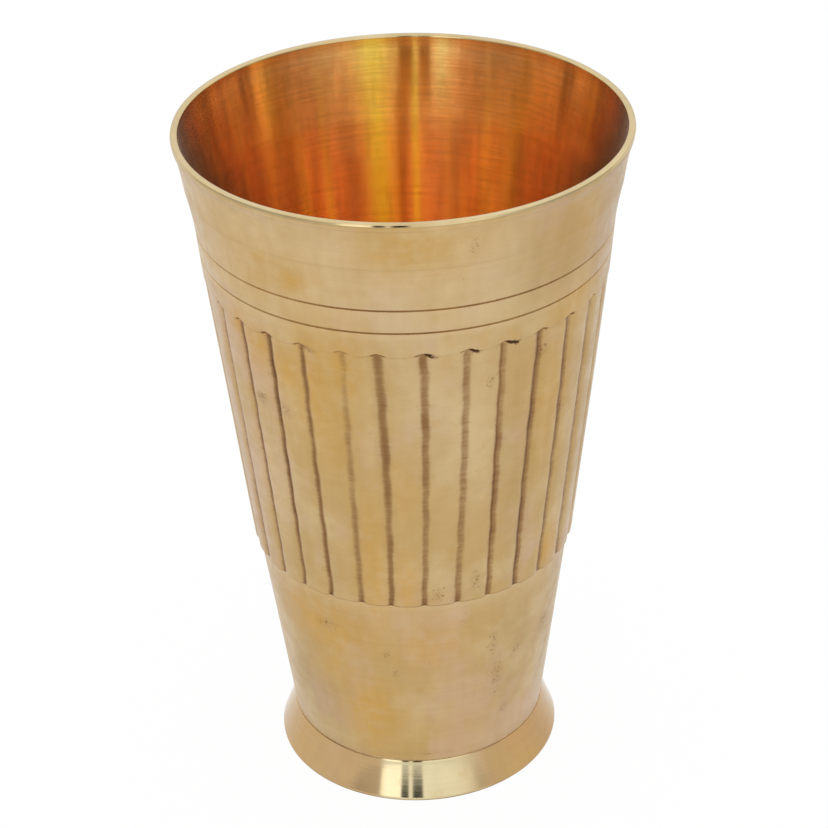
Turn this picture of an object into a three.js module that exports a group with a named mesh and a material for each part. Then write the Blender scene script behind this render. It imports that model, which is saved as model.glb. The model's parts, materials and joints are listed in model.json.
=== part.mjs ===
// A heavy turned brass tumbler: a tapered cup with a fluted band and a flared lip, brazed to a flared foot ring.
// Millimetres, +Z up. The origin is the middle of the foot's underside, and -Y is the front.

import * as THREE from 'three';

// Heights, stacked from the table up
const FOOT_HEIGHT = 7.7;
const BRAZE_FILM = 0.2;
const PLAIN_WALL_HEIGHT = 40.7;
const BAND_HEIGHT = 56.7;
const BAND_TO_LOWER_GROOVE = 5.1;
const GROOVE_SPACING = 4.6;
const UPPER_GROOVE_TO_LIP = 1.2;
const LIP_HEIGHT = 16.8;

// The mouth's outer radius, and how much each stretch of the outside draws in below it
const RIM_RADIUS = 41.7;
const LIP_FLARE = 3.2;
const COLLAR_TAPER = 1.0;
const BAND_TAPER = 6.35;
const PLAIN_WALL_TAPER = 5.3;
const FOOT_OVERHANG = 0.2;
const FOOT_FLARE = 2.65;

// Walls
const FLOOR_THICKNESS = 2.0;
const SKIRT_WALL = 0.9;
const LEDGE_WIDTH = 0.9;
const PLAIN_WALL = 2.1;
const COLLAR_WALL = 1.7;
const LIP_WALL = 1.4;
const LIP_ROUND_HEIGHT = 0.5;
const FOOT_WALL = 2.4;
const SEAT_THICKNESS = 2.3;
const FLOOR_BEARING = 3.0;

// Flutes: valleys cut down the band, with gently rounded panels between them
const FLUTE_COUNT = 31;
const FLUTE_PHASE_DEG = 3.9;
const VALLEY_WIDTH = 1.7;
const VALLEY_DEPTH = 0.55;
const VALLEY_FLOOR_STEP = 0.18;
const PANEL_SINK = 0.12;
const SHOULDER_SINK = 0.22;
const SCALLOP_RISE = 0.7;
const SCALLOP_BEVEL = 0.15;

// Turned grooves, edges and the two curved outlines
const GROOVE_WIDTH = 0.6;
const GROOVE_DEPTH = 0.3;
const FOOT_RIM_HEIGHT = 0.8;
const FOOT_EDGE_BREAK = 0.3;
const FOOT_FLARE_POWER = 1.5;
const LIP_START_SHARE = 0.6;

// Fits and joints
const DISC_CLEARANCE = 0.1;
const BRAZE_RECESS = 0.15;
const FILLET_LEG = 1.0;
const FILLET_CLEARANCE = 0.1;

// Facets
const RING_SEGMENTS = 72;
const FLARE_STEPS = 5;
const LIP_STEPS = 4;
const LIP_ROUND_STEPS = 4;

// Heights and radii that follow from the sizes above
const wallBase = FOOT_HEIGHT + BRAZE_FILM;
const floorTop = wallBase + FLOOR_THICKNESS;
const bandBase = wallBase + PLAIN_WALL_HEIGHT;
const bandTop = bandBase + BAND_HEIGHT;
const lowerGroove = bandTop + BAND_TO_LOWER_GROOVE;
const upperGroove = lowerGroove + GROOVE_SPACING;
const lipBase = upperGroove + UPPER_GROOVE_TO_LIP;
const rimTop = lipBase + LIP_HEIGHT;
const flareTop = rimTop - LIP_ROUND_HEIGHT;
const bandStep = VALLEY_FLOOR_STEP + VALLEY_DEPTH + PANEL_SINK;
const collarTopRadius = RIM_RADIUS - LIP_FLARE;
const collarBaseRadius = collarTopRadius - COLLAR_TAPER;
const bandBaseRadius = collarBaseRadius - BAND_TAPER;
const plainWallTopRadius = bandBaseRadius - bandStep;
const wallBaseRadius = plainWallTopRadius - PLAIN_WALL_TAPER;
const rebateRadius = wallBaseRadius - SKIRT_WALL;
const floorRadius = rebateRadius - LEDGE_WIDTH;
const footNeckRadius = wallBaseRadius + FOOT_OVERHANG;
const footRadius = footNeckRadius + FOOT_FLARE;
const seatRadius = rebateRadius - FLOOR_BEARING;

const BRASS = { color: 0xc9ab72, roughness: 0.38, metalness: 1.0 };
const TURNED_BRASS = { color: 0xd8bd7c, roughness: 0.24, metalness: 1.0 };
const INNER_BRASS = { color: 0xc08a3e, roughness: 0.3, metalness: 1.0 };
const BRAZING_METAL = { color: 0xb99a56, roughness: 0.5, metalness: 1.0 };

function mix(start, end, share) {
  return start + (end - start) * share;
}

function steps(count) {
  return Array.from({ length: count + 1 }, (_, index) => index / count);
}

// Turns a profile of { radius, height } points about +Z. It closes on itself unless it ends on the axis.
function turned(profile, segments) {
  const endsOnAxis = profile[0].radius === 0;
  const loop = endsOnAxis ? profile : [...profile, profile[0]];
  const points = loop.map(({ radius, height }) => new THREE.Vector2(radius, height));
  const geometry = new THREE.LatheGeometry(points, segments);
  geometry.rotateX(Math.PI / 2);
  return geometry;
}

// A V groove turned into a straight outer wall
function groove(centre, radiusAt) {
  const half = GROOVE_WIDTH / 2;
  return [
    { radius: radiusAt(centre - half), height: centre - half },
    { radius: radiusAt(centre) - GROOVE_DEPTH, height: centre },
    { radius: radiusAt(centre + half), height: centre + half },
  ];
}

// The share of its flare that the lip has reached: it leaves the collar gently and opens towards the rim
function lipFlare(share) {
  return LIP_START_SHARE * share + (1 - LIP_START_SHARE) * share ** 2;
}

// The wall's outer side from its base to the lip. Points marked fluted are cut by the valleys.
function outerWall() {
  const collarRadius = (height) =>
    mix(collarBaseRadius, collarTopRadius, (height - bandTop) / (lipBase - bandTop));
  const lip = steps(LIP_STEPS).map((share) => ({
    radius: mix(collarTopRadius, RIM_RADIUS, lipFlare(share)),
    height: mix(lipBase, flareTop, share),
  }));
  return [
    { radius: wallBaseRadius, height: wallBase },
    { radius: plainWallTopRadius, height: bandBase },
    { radius: bandBaseRadius, height: bandBase, fluted: true },
    { radius: collarBaseRadius, height: bandTop, fluted: true, scalloped: true },
    { radius: collarBaseRadius, height: bandTop + SCALLOP_BEVEL, scalloped: true },
    ...groove(lowerGroove, collarRadius),
    ...groove(upperGroove, collarRadius),
    ...lip,
  ];
}

// The lip's edge, a low half ellipse from its outer side over the top to its inner side
function lipEdge() {
  const halfWall = LIP_WALL / 2;
  const shares = steps(LIP_ROUND_STEPS).slice(1);
  return shares.map((share) => ({
    radius: RIM_RADIUS - halfWall + halfWall * Math.cos(share * Math.PI),
    height: flareTop + LIP_ROUND_HEIGHT * Math.sin(share * Math.PI),
  }));
}

// The wall's inner side from below the lip down to the ledge and the rebate that hold the floor disc
function innerWall() {
  const flare = steps(LIP_STEPS).slice(0, -1).reverse().map((share) => ({
    radius: mix(collarTopRadius - COLLAR_WALL, RIM_RADIUS - LIP_WALL, lipFlare(share)),
    height: mix(lipBase, flareTop, share),
  }));
  return [
    ...flare,
    { radius: plainWallTopRadius - PLAIN_WALL, height: bandBase },
    { radius: floorRadius, height: floorTop },
    { radius: rebateRadius, height: floorTop },
    { radius: rebateRadius, height: wallBase },
  ];
}

// Where the four columns of one flute stand, as shares of its pitch, and what each one cuts from the band
function fluteColumns() {
  const middleRadius = (bandBaseRadius + collarBaseRadius) / 2;
  const pitchLength = (2 * Math.PI * middleRadius) / FLUTE_COUNT;
  const halfValley = VALLEY_WIDTH / 2 / pitchLength;
  return [
    { share: 0, cut: PANEL_SINK + VALLEY_DEPTH, rise: SCALLOP_RISE },
    { share: halfValley, cut: SHOULDER_SINK, rise: SCALLOP_RISE / 2 },
    { share: 0.5, cut: PANEL_SINK, rise: 0 },
    { share: 1 - halfValley, cut: SHOULDER_SINK, rise: SCALLOP_RISE / 2 },
  ];
}

// Moves the turned wall's columns to the flutes' edges, and sinks the fluted rows
function cutFlutes(geometry, profile, columns) {
  const pitch = (2 * Math.PI) / FLUTE_COUNT;
  const phase = THREE.MathUtils.degToRad(FLUTE_PHASE_DEG);
  const rows = profile.length + 1;
  const position = geometry.attributes.position;
  for (let vertex = 0; vertex < position.count; vertex += 1) {
    const point = profile[(vertex % rows) % profile.length];
    const column = Math.floor(vertex / rows) % (FLUTE_COUNT * columns.length);
    const flute = Math.floor(column / columns.length);
    const { share, cut, rise } = columns[column % columns.length];
    const angle = phase + (flute + share) * pitch;
    const radius = point.radius - (point.fluted ? cut : 0);
    const height = point.height + (point.scalloped ? rise : 0);
    position.setXYZ(vertex, radius * Math.sin(angle), -radius * Math.cos(angle), height);
  }
}

function bodyWall() {
  const profile = [...outerWall(), ...lipEdge(), ...innerWall()];
  const columns = fluteColumns();
  const geometry = turned(profile, FLUTE_COUNT * columns.length);
  cutFlutes(geometry, profile, columns);
  return geometry;
}

// A flat disc that stands in the wall's rebate, up against the ledge
function floorDisc() {
  const radius = rebateRadius - DISC_CLEARANCE;
  return turned([
    { radius: 0, height: wallBase },
    { radius, height: wallBase },
    { radius, height: floorTop },
    { radius: 0, height: floorTop },
  ], RING_SEGMENTS);
}

// The foot flares down from its neck in a hollow curve to a short upright rim
function footRing() {
  const flare = steps(FLARE_STEPS).map((share) => ({
    radius: mix(footNeckRadius, footRadius, (1 - share) ** FOOT_FLARE_POWER),
    height: mix(FOOT_RIM_HEIGHT, FOOT_HEIGHT, share),
  }));
  const innerRimRadius = footRadius - FOOT_WALL;
  return turned([
    { radius: innerRimRadius + FOOT_EDGE_BREAK, height: 0 },
    { radius: footRadius - FOOT_EDGE_BREAK, height: 0 },
    { radius: footRadius, height: FOOT_EDGE_BREAK },
    ...flare,
    { radius: seatRadius, height: FOOT_HEIGHT },
    { radius: seatRadius, height: FOOT_HEIGHT - SEAT_THICKNESS },
    { radius: footNeckRadius - FOOT_WALL, height: FOOT_HEIGHT - SEAT_THICKNESS },
    { radius: innerRimRadius, height: FOOT_EDGE_BREAK },
  ], RING_SEGMENTS);
}

// The film of brazing metal on the foot's seat, drawn back a little from the outer faces
function footBraze() {
  const outer = wallBaseRadius - BRAZE_RECESS;
  const inner = seatRadius + BRAZE_RECESS;
  return turned([
    { radius: inner, height: FOOT_HEIGHT },
    { radius: outer, height: FOOT_HEIGHT },
    { radius: outer, height: wallBase },
    { radius: inner, height: wallBase },
  ], RING_SEGMENTS);
}

// The fillet of brazing metal in the corner of the cup's floor and wall
function floorBraze() {
  const outer = floorRadius - FILLET_CLEARANCE;
  return turned([
    { radius: outer - FILLET_LEG, height: floorTop },
    { radius: outer, height: floorTop },
    { radius: outer, height: floorTop + FILLET_LEG },
  ], RING_SEGMENTS);
}

function piece(name, geometry, finish) {
  const mesh = new THREE.Mesh(geometry, new THREE.MeshStandardMaterial(finish));
  mesh.name = name;
  return mesh;
}

const tumbler = new THREE.Group();
tumbler.add(piece('body_wall', bodyWall(), BRASS));
tumbler.add(piece('floor_disc', floorDisc(), INNER_BRASS));
tumbler.add(piece('foot_ring', footRing(), TURNED_BRASS));
tumbler.add(piece('foot_braze', footBraze(), BRAZING_METAL));
tumbler.add(piece('floor_braze', floorBraze(), BRAZING_METAL));

export default tumbler;
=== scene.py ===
"""A turned brass tumbler with a fluted band, a flared lip and a brazed foot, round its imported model.

Every length is in metres. The tumbler stands on the floor at the origin with its axis on +Z, and -Y is its
front. An angle round the tumbler is 0 at the front and grows towards +X.
"""

import json
import logging
import math
from dataclasses import dataclass, field
from enum import Enum

import bpy
import numpy as np
from mathutils import Matrix, Vector
from numpy.typing import NDArray

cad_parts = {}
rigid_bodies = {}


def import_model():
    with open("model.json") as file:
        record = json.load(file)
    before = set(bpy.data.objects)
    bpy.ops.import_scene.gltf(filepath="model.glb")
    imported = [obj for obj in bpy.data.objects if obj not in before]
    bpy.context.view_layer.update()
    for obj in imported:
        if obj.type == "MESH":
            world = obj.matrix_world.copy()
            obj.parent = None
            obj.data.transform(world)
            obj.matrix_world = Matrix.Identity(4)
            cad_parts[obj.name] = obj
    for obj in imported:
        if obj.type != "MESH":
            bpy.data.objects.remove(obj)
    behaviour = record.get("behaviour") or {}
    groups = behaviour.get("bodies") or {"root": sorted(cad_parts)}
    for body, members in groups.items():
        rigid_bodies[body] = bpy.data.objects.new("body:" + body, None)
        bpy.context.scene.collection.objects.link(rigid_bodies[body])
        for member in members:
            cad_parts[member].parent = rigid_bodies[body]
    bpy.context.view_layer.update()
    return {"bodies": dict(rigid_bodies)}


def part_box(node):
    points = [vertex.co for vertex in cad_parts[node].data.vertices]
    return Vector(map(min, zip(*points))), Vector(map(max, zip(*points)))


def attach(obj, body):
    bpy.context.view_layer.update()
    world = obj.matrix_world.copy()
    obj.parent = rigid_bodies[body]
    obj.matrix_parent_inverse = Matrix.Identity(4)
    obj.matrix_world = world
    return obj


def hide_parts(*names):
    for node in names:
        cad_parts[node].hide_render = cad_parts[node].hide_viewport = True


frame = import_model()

LOG = logging.getLogger("tumbler")

Array = NDArray[np.float64]
Colour = tuple[float, float, float]
Socket = bpy.types.NodeSocket

MM = 0.001
FULL_TURN = 2.0 * math.pi
NO_RADIUS = 1e-7

# How fine the noises are, in cells to the metre, how far streaks are drawn out, and the bump's height.
RAGGED_GRAIN = 1.8 / MM
STREAK_GRAIN = 0.5 / MM
SPECK_GRAIN = 0.42 / MM
BROAD_GRAIN = 0.09 / MM
DRAWN_OUT = (1.0, 1.0, 0.06)
BUMP_HEIGHT = 0.02 * MM

# Where a highlight is painted on the foot's joint: each place's angle and span in degrees, and its
# strength.
JOINT_HIGHLIGHTS = ((52.0, 84.0, 1.0), (-26.0, 26.0, 0.95), (-76.0, 56.0, 0.85))


class Slot(Enum):
    """The record's material slots."""

    WALL = "wall_brass"
    INSIDE = "inner_brass"
    FOOT = "foot_brass"
    BRAZE = "brazing_metal"


class Mark(Enum):
    """Values painted on a surface's points, which its finish reads."""

    # Brown in the hollows, and painted shadow.
    PATINA_AND_SHADOW = "patina_and_shadow"
    # Grime in scuffs, and painted shadow at the flutes' ends.
    DARK_SPOT = "dark_spot"
    # Warm tone, and inside painted pale reflections.
    WARM = "warm"
    # Wear, and painted highlights.
    HIGHLIGHT_AND_WEAR = "highlight_and_wear"
    # Painted shade.
    PAINTED_SHADE = "painted_shade"


def smooth_step(low: float, high: float, value: Array) -> Array:
    """A soft ramp from 0 at low to 1 at high: three t squared less two t cubed."""
    share = np.clip((value - low) / (high - low), 0.0, 1.0)
    return share * share * (3.0 - 2.0 * share)


def bell(offset: Array, width: float | Array) -> Array:
    """A bell curve that is 1 at offset 0. Its width is its full width at half height."""
    return np.exp(-4.0 * math.log(2.0) * (offset / width) ** 2)


def part_way(low: float, high: float, share: float | Array) -> float | Array:
    """What lies at a share of the way from low to high."""
    return low + share * (high - low)


def angle_from(centre_deg: float, angle: Array) -> Array:
    """The turn from a centre to each angle, between minus half a turn and half a turn."""
    return (angle - math.radians(centre_deg) + math.pi) % FULL_TURN - math.pi


def joint_highlight_share(angle: Array) -> Array:
    """The painted highlight on the foot's joint at each angle: the largest of the bells round it."""
    bells = [share * bell(angle_from(at, angle), math.radians(span)) for at, span, share in JOINT_HIGHLIGHTS]
    return np.maximum.reduce(bells)


@dataclass(frozen=True)
class SharedSizes:
    """Sizes that several pieces share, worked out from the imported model's nodes."""

    foot_top: float
    wall_base: float
    floor_top: float
    rim_top: float
    rim_radius: float
    wall_base_radius: float
    floor_radius: float
    disc_radius: float
    foot_radius: float
    braze_recess: float = 0.15 * MM
    fillet_clearance: float = 0.1 * MM

    @classmethod
    def from_frame(cls) -> "SharedSizes":
        """Reads the boxes of the CAD nodes.

        Returns:
            The shared sizes.
        """
        wall_low, wall_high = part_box("body_wall")
        disc_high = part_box("floor_disc")[1]
        foot_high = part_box("foot_ring")[1]
        film_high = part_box("foot_braze")[1]
        fillet_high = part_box("floor_braze")[1]
        return cls(
            foot_top=foot_high[2],
            wall_base=wall_low[2],
            floor_top=disc_high[2],
            rim_top=wall_high[2],
            rim_radius=min(wall_high[0], wall_high[1], -wall_low[0], -wall_low[1]),
            wall_base_radius=film_high[0] + cls.braze_recess,
            floor_radius=fillet_high[0] + cls.fillet_clearance,
            disc_radius=disc_high[0],
            foot_radius=foot_high[0],
        )


@dataclass
class RingGrid:
    """A surface of rings about +Z: a row of points for each station of a profile, a column for each angle.

    A first or last row on the axis becomes one point, and otherwise the last row joins the first, so that
    the surface is closed either way.
    """

    points: Array
    marks: dict[Mark, Array] = field(default_factory=dict)
    slots: Array | None = None

    def on_axis(self, row: int) -> bool:
        """Whether a row's points all lie on the axis."""
        return bool(np.hypot(self.points[row, :, 0], self.points[row, :, 1]).max() < NO_RADIUS)

    def to_object(self, name: str, *finishes: "BrassFinish", crease_deg: float = 38.0) -> bpy.types.Object:
        """Makes the mesh object. Each cell of the grid is a quad, and each cell beside the axis a triangle.

        The piece's own UV map runs once round the tumbler in U, and along the profile in V.

        Args:
            name: The new object's name.
            *finishes: The finish of each material slot.
            crease_deg: Edges that turn by more than this stay sharp.

        Returns:
            The object, linked into the scene.
        """
        rows, columns = self.points.shape[:2]
        capped = self.on_axis(0)
        number = np.arange(rows * columns).reshape(rows, columns)
        if capped:
            number[0] = 0
            number[1:-1] -= columns - 1
            number[-1] = number[-2, -1] + 1
        following = np.roll(np.arange(columns), -1)
        lower = np.arange(rows - 1) if capped else np.arange(rows)
        upper = (lower + 1) % rows
        near, far = number[lower], number[upper]
        quads = np.stack([near, near[:, following], far[:, following], far], axis=-1)
        steps = np.linalg.norm(np.diff(self.points[:, 0], axis=0), axis=-1)
        along = np.concatenate([[0.0], np.cumsum(steps), [steps.sum()]])
        turn = np.arange(columns + 1) / columns
        start, end = along[lower], along[lower + 1]
        corner_u = np.stack([turn[:-1], turn[1:], turn[1:], turn[:-1]], axis=-1)
        corner_u = np.broadcast_to(corner_u, quads.shape)
        corner_v = np.stack([start, start, end, end], axis=-1)[:, None]
        corner_v = np.broadcast_to(corner_v, quads.shape)
        faces = quads.reshape(-1, 4)
        corner_uv = np.stack([corner_u, corner_v], axis=-1).reshape(-1, 4, 2)
        real = np.ones(faces.shape, dtype=bool)
        real[:, 1] = faces[:, 1] != faces[:, 0]
        real[:, 3] = faces[:, 3] != faces[:, 2]
        sizes = real.sum(axis=1)

        flat = self.points.reshape(-1, 3)
        kept = np.unique(number.ravel(), return_index=True)[1]
        mesh = bpy.data.meshes.new(name)
        mesh.vertices.add(len(kept))
        mesh.vertices.foreach_set("co", flat[kept].astype(np.float32).ravel())
        mesh.loops.add(int(sizes.sum()))
        mesh.loops.foreach_set("vertex_index", faces[real].astype(np.int32))
        mesh.polygons.add(len(faces))
        first_corner = np.concatenate([[0], np.cumsum(sizes)[:-1]])
        mesh.polygons.foreach_set("loop_start", first_corner.astype(np.int32))
        if self.slots is not None:
            slot_of_face = np.repeat(self.slots[lower], columns)
            mesh.polygons.foreach_set("material_index", slot_of_face.astype(np.int32))
        mesh.update(calc_edges=True)
        uv_map = mesh.uv_layers.new(name="Turned")
        uv_map.uv.foreach_set("vector", corner_uv[real].astype(np.float32).ravel())
        for mark, values in self.marks.items():
            layer = mesh.attributes.new(mark.value, "FLOAT", "POINT")
            layer.data.foreach_set("value", values.reshape(-1)[kept].astype(np.float32))
        mesh.validate()
        mesh.shade_smooth()
        mesh.set_sharp_from_angle(angle=math.radians(crease_deg))
        piece = bpy.data.objects.new(name, mesh)
        bpy.context.scene.collection.objects.link(piece)
        for finish in finishes:
            mesh.materials.append(finish.material())
        return piece


def blank_marks(points: Array) -> dict[Mark, Array]:
    """Every mark at 0 on all of a surface's points."""
    return {mark: np.zeros(points.shape[:2]) for mark in Mark}


def turned_rings(profile: Array, columns: int) -> Array:
    """Carries a profile of radius and height round the axis.

    Args:
        profile: One row of (radius, height) for each ring.
        columns: How many points each ring has.

    Returns:
        The points: x is radius times the angle's sine, y is minus radius times its cosine, z is the height.
    """
    angle = np.linspace(0.0, FULL_TURN, columns, endpoint=False)
    radius, height = profile[:, :1], profile[:, 1:]
    return np.stack([radius * np.sin(angle), -radius * np.cos(angle), height + 0.0 * angle], axis=-1)


class NodeBench:
    """Lays nodes into one material or world and joins them."""

    def __init__(self, owner: bpy.types.Material | bpy.types.World) -> None:
        """Clears the owner's node tree.

        Args:
            owner: The new material or world.
        """
        owner.use_nodes = True
        self.tree = owner.node_tree
        self.tree.nodes.clear()

    def add(
        self, kind: str, inputs: dict[str | int, object] | None = None, **settings: object
    ) -> bpy.types.Node:
        """Adds a node, sets its properties, and fills or links its inputs.

        Args:
            kind: The node's type without its ShaderNode prefix.
            inputs: A value or an output socket for each named or numbered input.
            **settings: Properties of the node.

        Returns:
            The node.
        """
        node = self.tree.nodes.new("ShaderNode" + kind)
        for key, value in settings.items():
            setattr(node, key, value)
        for key, value in (inputs or {}).items():
            if isinstance(value, bpy.types.NodeSocket):
                self.tree.links.new(value, node.inputs[key])
            else:
                node.inputs[key].default_value = value
        return node

    def math(self, operation: str, first: object, second: object = 0.0, clamp: bool = False) -> Socket:
        """A Math node's result."""
        return self.add("Math", {0: first, 1: second}, operation=operation, use_clamp=clamp).outputs[0]

    def times(self, first: object, second: object, clamp: bool = False) -> Socket:
        """The product of two numbers, held between 0 and 1 where clamp is set."""
        return self.math("MULTIPLY", first, second, clamp)

    def plus(self, first: object, second: object, clamp: bool = False) -> Socket:
        """The sum of two numbers, held between 0 and 1 where clamp is set."""
        return self.math("ADD", first, second, clamp)

    def less(self, first: object, second: object) -> Socket:
        """The first number less the second."""
        return self.math("SUBTRACT", first, second)

    def larger(self, first: object, second: object) -> Socket:
        """The larger of two numbers."""
        return self.math("MAXIMUM", first, second)

    def blend(self, share: object, low: object, high: object, kind: str = "MIX") -> Socket:
        """A colour between low and high, by share."""
        inputs = {"Factor": share, 6: low, 7: high}
        return self.add("Mix", inputs, data_type="RGBA", blend_type=kind).outputs[2]

    def span(
        self, value: object, low: float, high: float, to_low: float = 0.0, to_high: float = 1.0
    ) -> Socket:
        """Carries value's stretch from low to high over to to_low and to_high, held at its ends."""
        inputs = {"Value": value, 1: low, 2: high, 3: to_low, 4: to_high}
        return self.add("MapRange", inputs, interpolation_type="SMOOTHSTEP").outputs[0]

    def place(self, scale: tuple[float, float, float]) -> Socket:
        """The piece's own coordinates in metres, scaled along each axis."""
        coordinates = self.add("TexCoord").outputs["Object"]
        return self.add("Mapping", {"Vector": coordinates, "Scale": scale}).outputs[0]

    def noise(self, where: object, scale: float, detail: float = 3.0, rough: float = 0.5) -> Socket:
        """Fractal noise about 0.5."""
        inputs = {"Vector": where, "Scale": scale, "Detail": detail, "Roughness": rough}
        return self.add("TexNoise", inputs).outputs["Fac"]

    def mark(self, mark: Mark) -> Socket:
        """A value painted on the piece's points."""
        return self.add("Attribute", attribute_name=mark.value).outputs["Fac"]


def opaque(colour: Colour) -> tuple[float, float, float, float]:
    """The colour with full alpha."""
    return (*colour, 1.0)


@dataclass(frozen=True)
class BrassFinish:
    """Brass: its tones, turning lines, mottling and what lies in its recesses, with painted light and
    shade.

    The base is mottled with pale and blush. The warm colour lies on warm patches, and inside on
    painted pale reflections; the colour of wear lies on places of wear and on painted highlights; the
    shade tint darkens painted shade. Toned and deep lie in the recesses and in painted shadow, and the
    two dark spot colours on grime and painted shadow. Drawn is how strongly the tones run in bands up
    the wall, which paint streaky reflections, dust is the weight of the sheen, and a faced disc has its
    turning lines in rings round the axis.
    """

    name: str
    base: Colour
    pale: Colour
    blush: Colour
    warm: Colour
    highlight_and_wear: Colour
    toned: Colour
    deep: Colour
    roughness: float
    roughness_swing: float
    line_strength: float
    painted_shade: Colour = (0.75, 0.72, 0.64)
    dirt_and_shadow: Colour = (0.17, 0.072, 0.018)
    soot_and_shadow: Colour = (0.060, 0.024, 0.012)
    line_pitch: float = 0.35 * MM
    line_drift: float = 0.02
    anisotropy: float = 0.0
    mottle_size: float = 16.0 * MM
    mottle: float = 0.5
    grain: float = 0.12
    specks: float = 0.0
    waviness: float = 0.0
    drawn: float = 0.0
    metallic: float = 1.0
    dust: float = 0.0
    faced: bool = False

    def turning_lines(self, bench: NodeBench) -> Socket:
        """Noise that runs along the turning: by height on a wall, and by radius on a faced disc."""
        along = bench.place((self.line_drift, self.line_drift, 1.0))
        if self.faced:
            flat = bench.place((1.0, 1.0, 0.0))
            out = bench.add("VectorMath", {0: flat}, operation="LENGTH").outputs["Value"]
            along = bench.add("CombineXYZ", {0: out}).outputs[0]
        return bench.noise(along, 0.5 / self.line_pitch, 3.0, 0.65)

    def bare_tone(self, bench: NodeBench, cloud: Socket, fine: Socket, lines: Socket) -> Socket:
        """The colour: mottled, drawn into bands of painted reflection, then given wear and painted
        highlights, painted shade and warmth by its marks, and grained.

        Args:
            bench: The material's nodes.
            cloud: Noise of the mottling's size.
            fine: Finer noise.
            lines: The turning lines.

        Returns:
            The colour.
        """
        broad = bench.noise(bench.place((1.0, 1.0, 1.0)), 1.0 / self.mottle_size, 4.0, 0.6)
        paleness = bench.times(bench.span(broad, 0.42, 0.66), self.mottle)
        tone = bench.blend(paleness, opaque(self.base), opaque(self.pale))
        redness = bench.times(bench.span(cloud, 0.46, 0.62), 1.4 * self.mottle, clamp=True)
        tone = bench.blend(redness, tone, opaque(self.blush))
        # Bands up the wall, which paint streaky reflections.
        if self.drawn > 0.0:
            bands = bench.noise(bench.place(DRAWN_OUT), BROAD_GRAIN, 2.0, 0.5)
            dark = bench.span(bands, 0.5, 0.7, 0.0, self.drawn)
            light = bench.span(bands, 0.32, 0.48, self.drawn, 0.0)
            tone = bench.blend(dark, tone, opaque(self.painted_shade), "MULTIPLY")
            tone = bench.blend(light, tone, opaque(self.pale))
        # Wear and painted highlights, then painted shade.
        tone = bench.blend(bench.times(bench.mark(Mark.HIGHLIGHT_AND_WEAR), 0.9), tone, opaque(self.highlight_and_wear))
        tone = bench.blend(bench.mark(Mark.PAINTED_SHADE), tone, opaque(self.painted_shade), "MULTIPLY")
        # Warm patches, and inside painted pale reflections.
        warmth = bench.times(bench.mark(Mark.WARM), bench.span(fine, 0.3, 0.6, 0.45, 1.0), clamp=True)
        patches = bench.times(bench.span(fine, 0.52, 0.72), 0.35 * self.mottle)
        tone = bench.blend(bench.larger(warmth, patches), tone, opaque(self.warm))
        streak = bench.noise(bench.place(DRAWN_OUT), STREAK_GRAIN, 2.0, 0.5)
        swing = bench.plus(bench.times(streak, 0.5), bench.times(lines, 0.5))
        shade = bench.span(swing, 0.3, 0.7, 1.0 - self.grain, 1.0 + self.grain)
        grey = bench.add("CombineColor", {0: shade, 1: shade, 2: shade}).outputs[0]
        return bench.blend(1.0, tone, grey, "MULTIPLY")

    def dark_spot_cover(
        self, bench: NodeBench, dark_spot: Socket, thick: Socket, cloud: Socket, ragged: Socket
    ) -> Socket:
        """How much of the metal the dark spots hide, with broken edges: painted shadow at the flutes' ends,
        grime in scuffs, and a few scattered specks.

        Args:
            bench: The material's nodes.
            dark_spot: The painted strength of the dark spots: shadow at the flutes' ends, grime in scuffs.
            thick: Where they are strong enough for a thick layer.
            cloud: Noise of the mottling's size.
            ragged: Noise that breaks the edges up.

        Returns:
            The dirt's share of the colour.
        """
        broken_edge = bench.times(bench.less(ragged, 0.5), 2.1)
        cover = bench.span(bench.plus(dark_spot, broken_edge), 0.5, 0.68)
        cover = bench.times(cover, bench.span(dark_spot, 0.02, 0.2))
        if self.specks > 0.0:
            spots = bench.add("TexVoronoi", {"Vector": bench.place((1.0, 1.0, 1.0)), "Scale": SPECK_GRAIN})
            lot = bench.add("SeparateColor", {0: spots.outputs["Color"]}).outputs[0]
            chosen = bench.times(bench.span(lot, 0.82, 0.95), bench.span(cloud, 0.5, 0.6))
            dots = bench.times(bench.span(spots.outputs["Distance"], 0.04, 0.12, 1.0, 0.0), chosen)
            cover = bench.larger(cover, bench.times(dots, self.specks))
        return bench.times(cover, bench.plus(bench.times(thick, 0.5), 0.45))

    def material(self) -> bpy.types.Material:
        """Builds the shader: tones by noise and marks, roughness by grain, bump by turning lines and pits.

        Returns:
            The material.
        """
        material = bpy.data.materials.new(self.name)
        bench = NodeBench(material)
        here = bench.place((1.0, 1.0, 1.0))
        cloud = bench.noise(bench.place((1.0, 1.0, 0.7)), 0.7 / self.mottle_size, 5.0, 0.65)
        fine = bench.noise(here, 4.5 / self.mottle_size, 4.0, 0.6)
        ragged = bench.noise(here, RAGGED_GRAIN, 3.0, 0.6)
        lines = self.turning_lines(bench)
        tone = self.bare_tone(bench, cloud, fine, lines)

        hatch = bench.plus(bench.times(lines, 0.7), bench.times(ragged, 0.3))
        uneven = bench.times(bench.less(hatch, 0.5), 0.75)
        # Brown in the hollows, and painted shadow at the band's step, the valleys' feet and the foot's
        # edge.
        stain_and_shadow = bench.times(bench.mark(Mark.PATINA_AND_SHADOW), bench.span(cloud, 0.35, 0.65, 0.82, 1.14))
        recess = bench.plus(stain_and_shadow, uneven)
        patina_and_shadow = bench.span(recess, 0.14, 0.95)
        tone = bench.blend(patina_and_shadow, tone, opaque(self.toned))
        core = bench.times(bench.span(recess, 0.85, 1.45), bench.span(fine, 0.3, 0.6, 0.7, 1.0))
        tone = bench.blend(core, tone, opaque(self.deep))

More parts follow.
